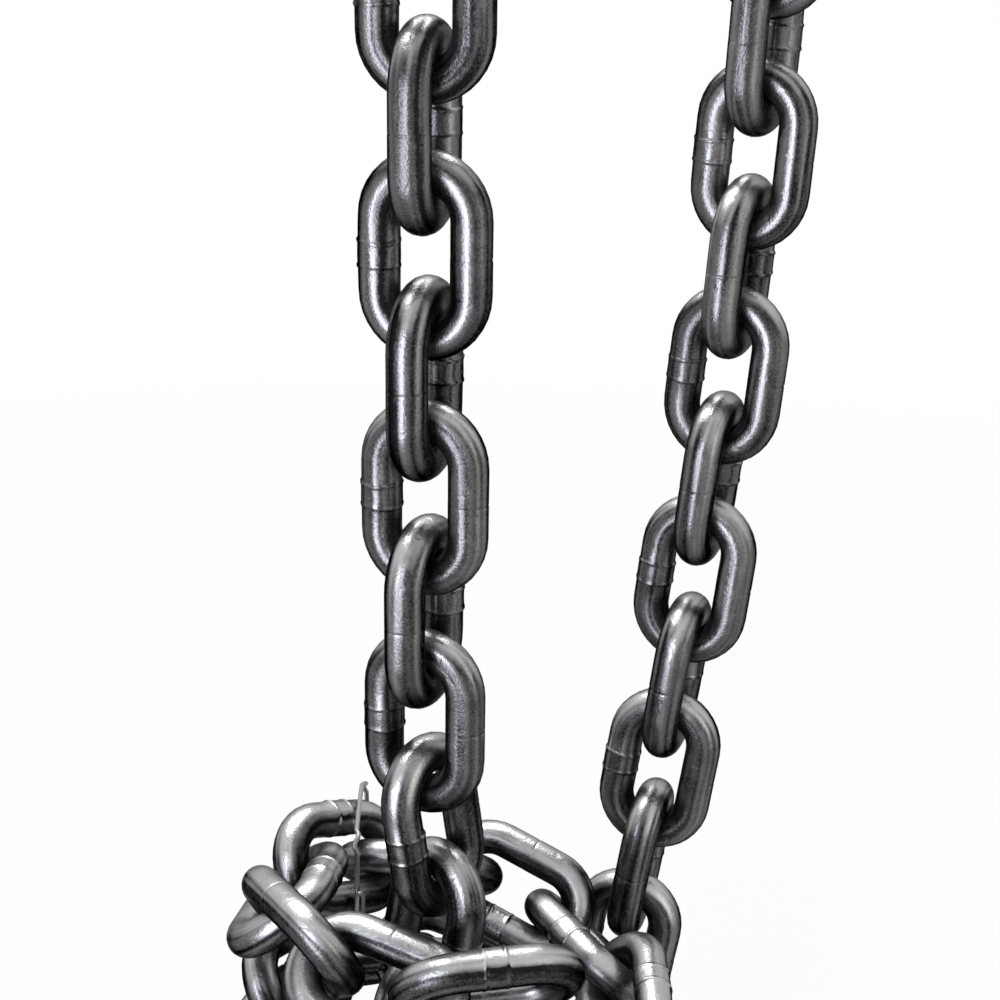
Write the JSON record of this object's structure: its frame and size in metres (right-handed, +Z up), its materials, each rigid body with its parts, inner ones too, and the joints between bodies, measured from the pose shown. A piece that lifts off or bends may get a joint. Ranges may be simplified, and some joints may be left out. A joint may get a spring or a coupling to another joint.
{
  "type": "chain sling leg",
  "caption": "Hung chain sling leg: a master link, round-bar welded chain in a straight run and a leaning run beside a wired heap, and a clevis hook with a sprung latch.",
  "frame": {"origin": "the seat inside the top of the master link, where the sling hangs", "axes": "+Z up along the left run, +X to the right of the pictured view, +Y away from it"},
  "size_m": [0.2223, 0.1826, 0.7515],
  "materials": {
    "chain_steel": "dark, oiled and burnished bare steel",
    "forged_steel": "dark forged steel",
    "pin_steel": "turned steel",
    "latch_steel": "plated sheet steel",
    "wire_steel": "annealed wire"
  },
  "bodies": {
    "hung_ends": {"master_link": "forged_steel", "hook_body": "forged_steel", "load_pin": "pin_steel", "latch_pin": "pin_steel", "latch_spring": "wire_steel"},
    "latch": {"latch": "latch_steel"},
    "joining_link": {"joining_link": "forged_steel"},
    "left_link_01": {"left_link_01": "chain_steel"},
    "left_link_02": {"left_link_02": "chain_steel"},
    "left_link_03": {"left_link_03": "chain_steel"},
    "left_link_04": {"left_link_04": "chain_steel"},
    "left_link_05": {"left_link_05": "chain_steel"},
    "left_link_06": {"left_link_06": "chain_steel"},
    "left_link_07": {"left_link_07": "chain_steel"},
    "left_link_08": {"left_link_08": "chain_steel"},
    "left_link_09": {"left_link_09": "chain_steel"},
    "right_link_01": {"right_link_01": "chain_steel"},
    "right_link_02": {"right_link_02": "chain_steel"},
    "right_link_03": {"right_link_03": "chain_steel"},
    "right_link_04": {"right_link_04": "chain_steel"},
    "right_link_05": {"right_link_05": "chain_steel"},
    "right_link_06": {"right_link_06": "chain_steel"},
    "right_link_07": {"right_link_07": "chain_steel"},
    "right_link_08": {"right_link_08": "chain_steel"},
    "right_link_09": {"right_link_09": "chain_steel"},
    "right_link_10": {"right_link_10": "chain_steel"},
    "right_link_11": {"right_link_11": "chain_steel"},
    "right_link_12": {"right_link_12": "chain_steel"},
    "right_link_13": {"right_link_13": "chain_steel"},
    "right_link_14": {"right_link_14": "chain_steel"},
    "heap": {"left_link_10": "chain_steel", "heap_link_01": "chain_steel", "heap_link_02": "chain_steel", "heap_link_03": "chain_steel", "heap_link_04": "chain_steel", "heap_link_05": "chain_steel", "heap_link_06": "chain_steel", "heap_link_07": "chain_steel", "heap_link_08": "chain_steel", "heap_link_09": "chain_steel", "heap_link_10": "chain_steel", "heap_link_11": "chain_steel", "heap_link_12": "chain_steel", "heap_link_13": "chain_steel", "heap_link_14": "chain_steel", "heap_link_15": "chain_steel", "heap_link_16": "chain_steel", "heap_link_17": "chain_steel", "heap_link_18": "chain_steel", "heap_link_19": "chain_steel", "heap_link_20": "chain_steel", "heap_link_21": "chain_steel", "heap_link_22": "chain_steel", "heap_link_23": "chain_steel", "binding_wire": "wire_steel"}
  },
  "joints": [
    {"name": "latch_hinge", "type": "hinge", "parent": "hung_ends", "child": "latch", "pos_m": [0.0995, 0.0921, -0.064], "axis": [-0.599, -0.8007, 0], "range_deg": [0, 40], "stiffness_Nm_per_rad": 0.05, "springref_deg": -11.46},
    {"name": "joining_link_swing", "type": "hinge", "parent": "hung_ends", "child": "joining_link", "pos_m": [0, 0, -0.171], "axis": [0.1702, 0.9854, 0], "range_deg": [0, 20]},
    {"name": "left_link_01_swing", "type": "hinge", "parent": "joining_link", "child": "left_link_01", "pos_m": [0, 0, -0.2372], "axis": [-0.9799, 0.1994, 0], "range_deg": [0, 20]},
    {"name": "left_link_02_swing", "type": "hinge", "parent": "left_link_01", "child": "left_link_02", "pos_m": [0, 0, -0.2749], "axis": [0.2284, 0.9736, 0], "range_deg": [0, 20]},
    {"name": "left_link_03_swing", "type": "hinge", "parent": "left_link_02", "child": "left_link_03", "pos_m": [0, 0, -0.3136], "axis": [-0.9664, 0.2571, 0], "range_deg": [0, 20]},
    {"name": "left_link_04_swing", "type": "hinge", "parent": "left_link_03", "child": "left_link_04", "pos_m": [0, 0, -0.3523], "axis": [0.2857, 0.9583, 0], "range_deg": [0, 20]},
    {"name": "left_link_05_swing", "type": "hinge", "parent": "left_link_04", "child": "left_link_05", "pos_m": [0, 0, -0.391], "axis": [-0.9494, 0.314, 0], "range_deg": [0, 20]},
    {"name": "left_link_06_swing", "type": "hinge", "parent": "left_link_05", "child": "left_link_06", "pos_m": [0, 0, -0.4297], "axis": [0.342, 0.9397, 0], "range_deg": [0, 20]},
    {"name": "left_link_07_swing", "type": "hinge", "parent": "left_link_06", "child": "left_link_07", "pos_m": [0, 0, -0.4684], "axis": [-0.9291, 0.3697, 0], "range_deg": [0, 20]},
    {"name": "left_link_08_swing", "type": "hinge", "parent": "left_link_07", "child": "left_link_08", "pos_m": [0, 0, -0.5071], "axis": [0.3971, 0.9178, 0], "range_deg": [0, 20]},
    {"name": "left_link_09_swing", "type": "hinge", "parent": "left_link_08", "child": "left_link_09", "pos_m": [0.00162, -0.00076, -0.5466], "axis": [-0.7937, 0.5981, -0.1115], "range_deg": [0, 20]},
    {"name": "heap_swing", "type": "hinge", "parent": "left_link_09", "child": "heap", "pos_m": [0.00476, -0.0036, -0.58422], "axis": [-0.7494, -0.6514, 0.1187], "range_deg": [0, 20]},
    {"name": "right_link_01_swing", "type": "hinge", "parent": "hung_ends", "child": "right_link_01", "pos_m": [0.113, 0.082, -0.142], "axis": [0.8007, -0.599, 0], "range_deg": [0, 20]},
    {"name": "right_link_02_swing", "type": "hinge", "parent": "right_link_01", "child": "right_link_02", "pos_m": [0.113, 0.082, -0.17945], "axis": [-0.599, -0.8007, 0], "range_deg": [0, 20]},
    {"name": "right_link_03_swing", "type": "hinge", "parent": "right_link_02", "child": "right_link_03", "pos_m": [0.113, 0.082, -0.21815], "axis": [0.8171, -0.5764, 0], "range_deg": [0, 20]},
    {"name": "right_link_04_swing", "type": "hinge", "parent": "right_link_03", "child": "right_link_04", "pos_m": [0.11234, 0.08208, -0.25684], "axis": [-0.5533, -0.8329, 0.0076], "range_deg": [0, 20]},
    {"name": "right_link_05_swing", "type": "hinge", "parent": "right_link_04", "child": "right_link_05", "pos_m": [0.11122, 0.082, -0.29553], "axis": [0.8476, -0.5301, -0.0234], "range_deg": [0, 20]},
    {"name": "right_link_06_swing", "type": "hinge", "parent": "right_link_05", "child": "right_link_06", "pos_m": [0.10949, 0.08208, -0.33419], "axis": [-0.5053, -0.8627, 0.0209], "range_deg": [0, 20]},
    {"name": "right_link_07_swing", "type": "hinge", "parent": "right_link_06", "child": "right_link_07", "pos_m": [0.10731, 0.08199, -0.37283], "axis": [0.8747, -0.4823, -0.0483], "range_deg": [0, 20]},
    {"name": "right_link_08_swing", "type": "hinge", "parent": "right_link_07", "child": "right_link_08", "pos_m": [0.1045, 0.08207, -0.41143], "axis": [-0.4552, -0.8899, 0.0314], "range_deg": [0, 20]},
    {"name": "right_link_09_swing", "type": "hinge", "parent": "right_link_08", "child": "right_link_09", "pos_m": [0.10126, 0.08199, -0.44999], "axis": [0.8982, -0.4333, -0.0745], "range_deg": [0, 20]},
    {"name": "right_link_10_swing", "type": "hinge", "parent": "right_link_09", "child": "right_link_10", "pos_m": [0.09739, 0.08206, -0.4885], "axis": [-0.4033, -0.9142, 0.039], "range_deg": [0, 20]},
    {"name": "right_link_11_swing", "type": "hinge", "parent": "right_link_10", "child": "right_link_11", "pos_m": [0.0931, 0.08199, -0.52696], "axis": [0.9181, -0.3831, -0.1017], "range_deg": [0, 20]},
    {"name": "right_link_12_swing", "type": "hinge", "parent": "right_link_11", "child": "right_link_12", "pos_m": [0.08815, 0.08205, -0.56535], "axis": [-0.35, -0.9357, 0.0437], "range_deg": [0, 20]},
    {"name": "right_link_13_swing", "type": "hinge", "parent": "right_link_12", "child": "right_link_13", "pos_m": [0.08281, 0.08199, -0.60368], "axis": [0.9344, -0.3317, -0.1297], "range_deg": [0, 20]},
    {"name": "right_link_14_swing", "type": "hinge", "parent": "right_link_13", "child": "right_link_14", "pos_m": [0.0768, 0.08204, -0.64191], "axis": [-0.2958, -0.9542, 0.0452], "range_deg": [0, 20]}
  ]
}
